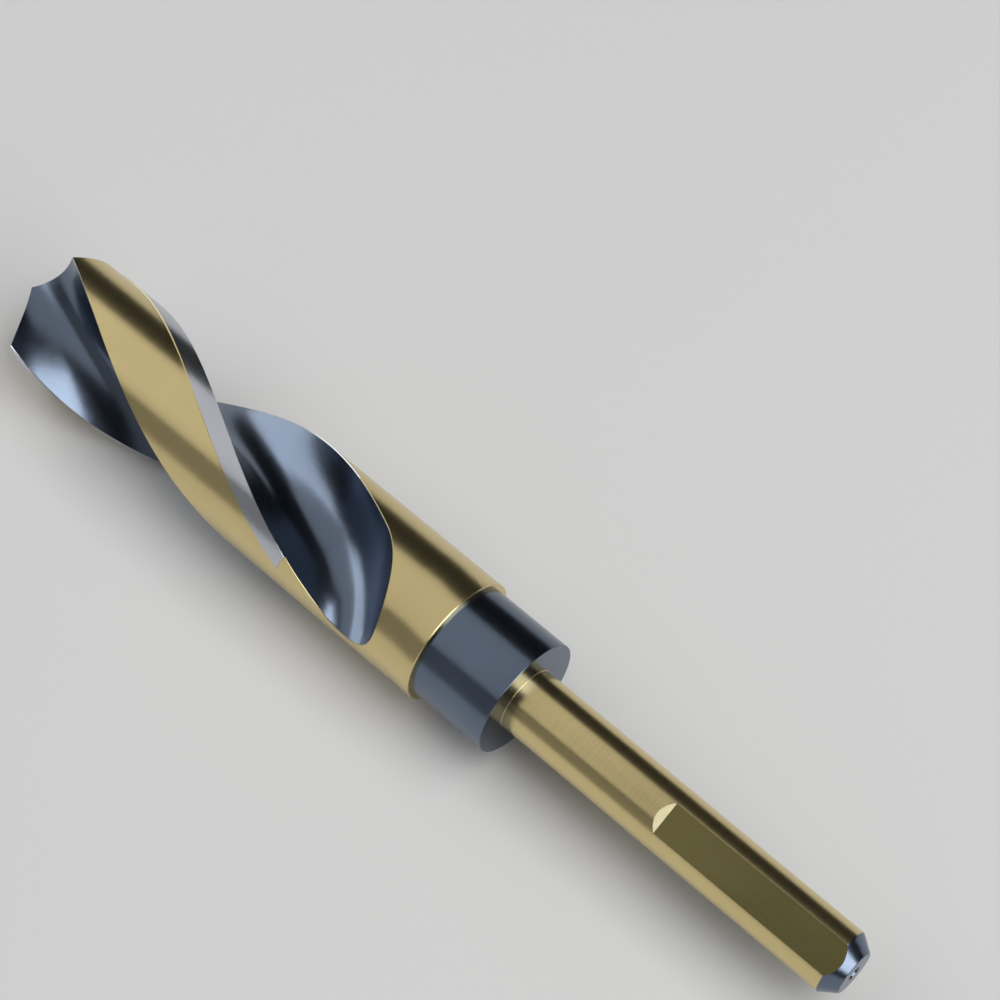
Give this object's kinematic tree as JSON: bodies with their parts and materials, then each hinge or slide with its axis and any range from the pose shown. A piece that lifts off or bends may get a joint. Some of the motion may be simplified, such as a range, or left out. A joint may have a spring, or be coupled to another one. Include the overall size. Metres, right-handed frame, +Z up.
{
  "type": "reduced shank drill bit",
  "caption": "Large twist drill bit for metal, with a collar and a thinner shank with flats, gold-coloured lands and body, and dark blue flutes and collar.",
  "frame": {"origin": "centre of the underside, on the floor that the bit lies on", "axes": "+X along the bit's axis from the point to the shank's end, +Z up"},
  "size_m": [0.154, 0.0198, 0.0198],
  "materials": {
    "gold_coating": "tool steel with a satin straw-gold coating and fine grinding lines"
  },
  "bodies": {
    "root": {"drill_bit": "gold_coating"}
  },
  "joints": []
}
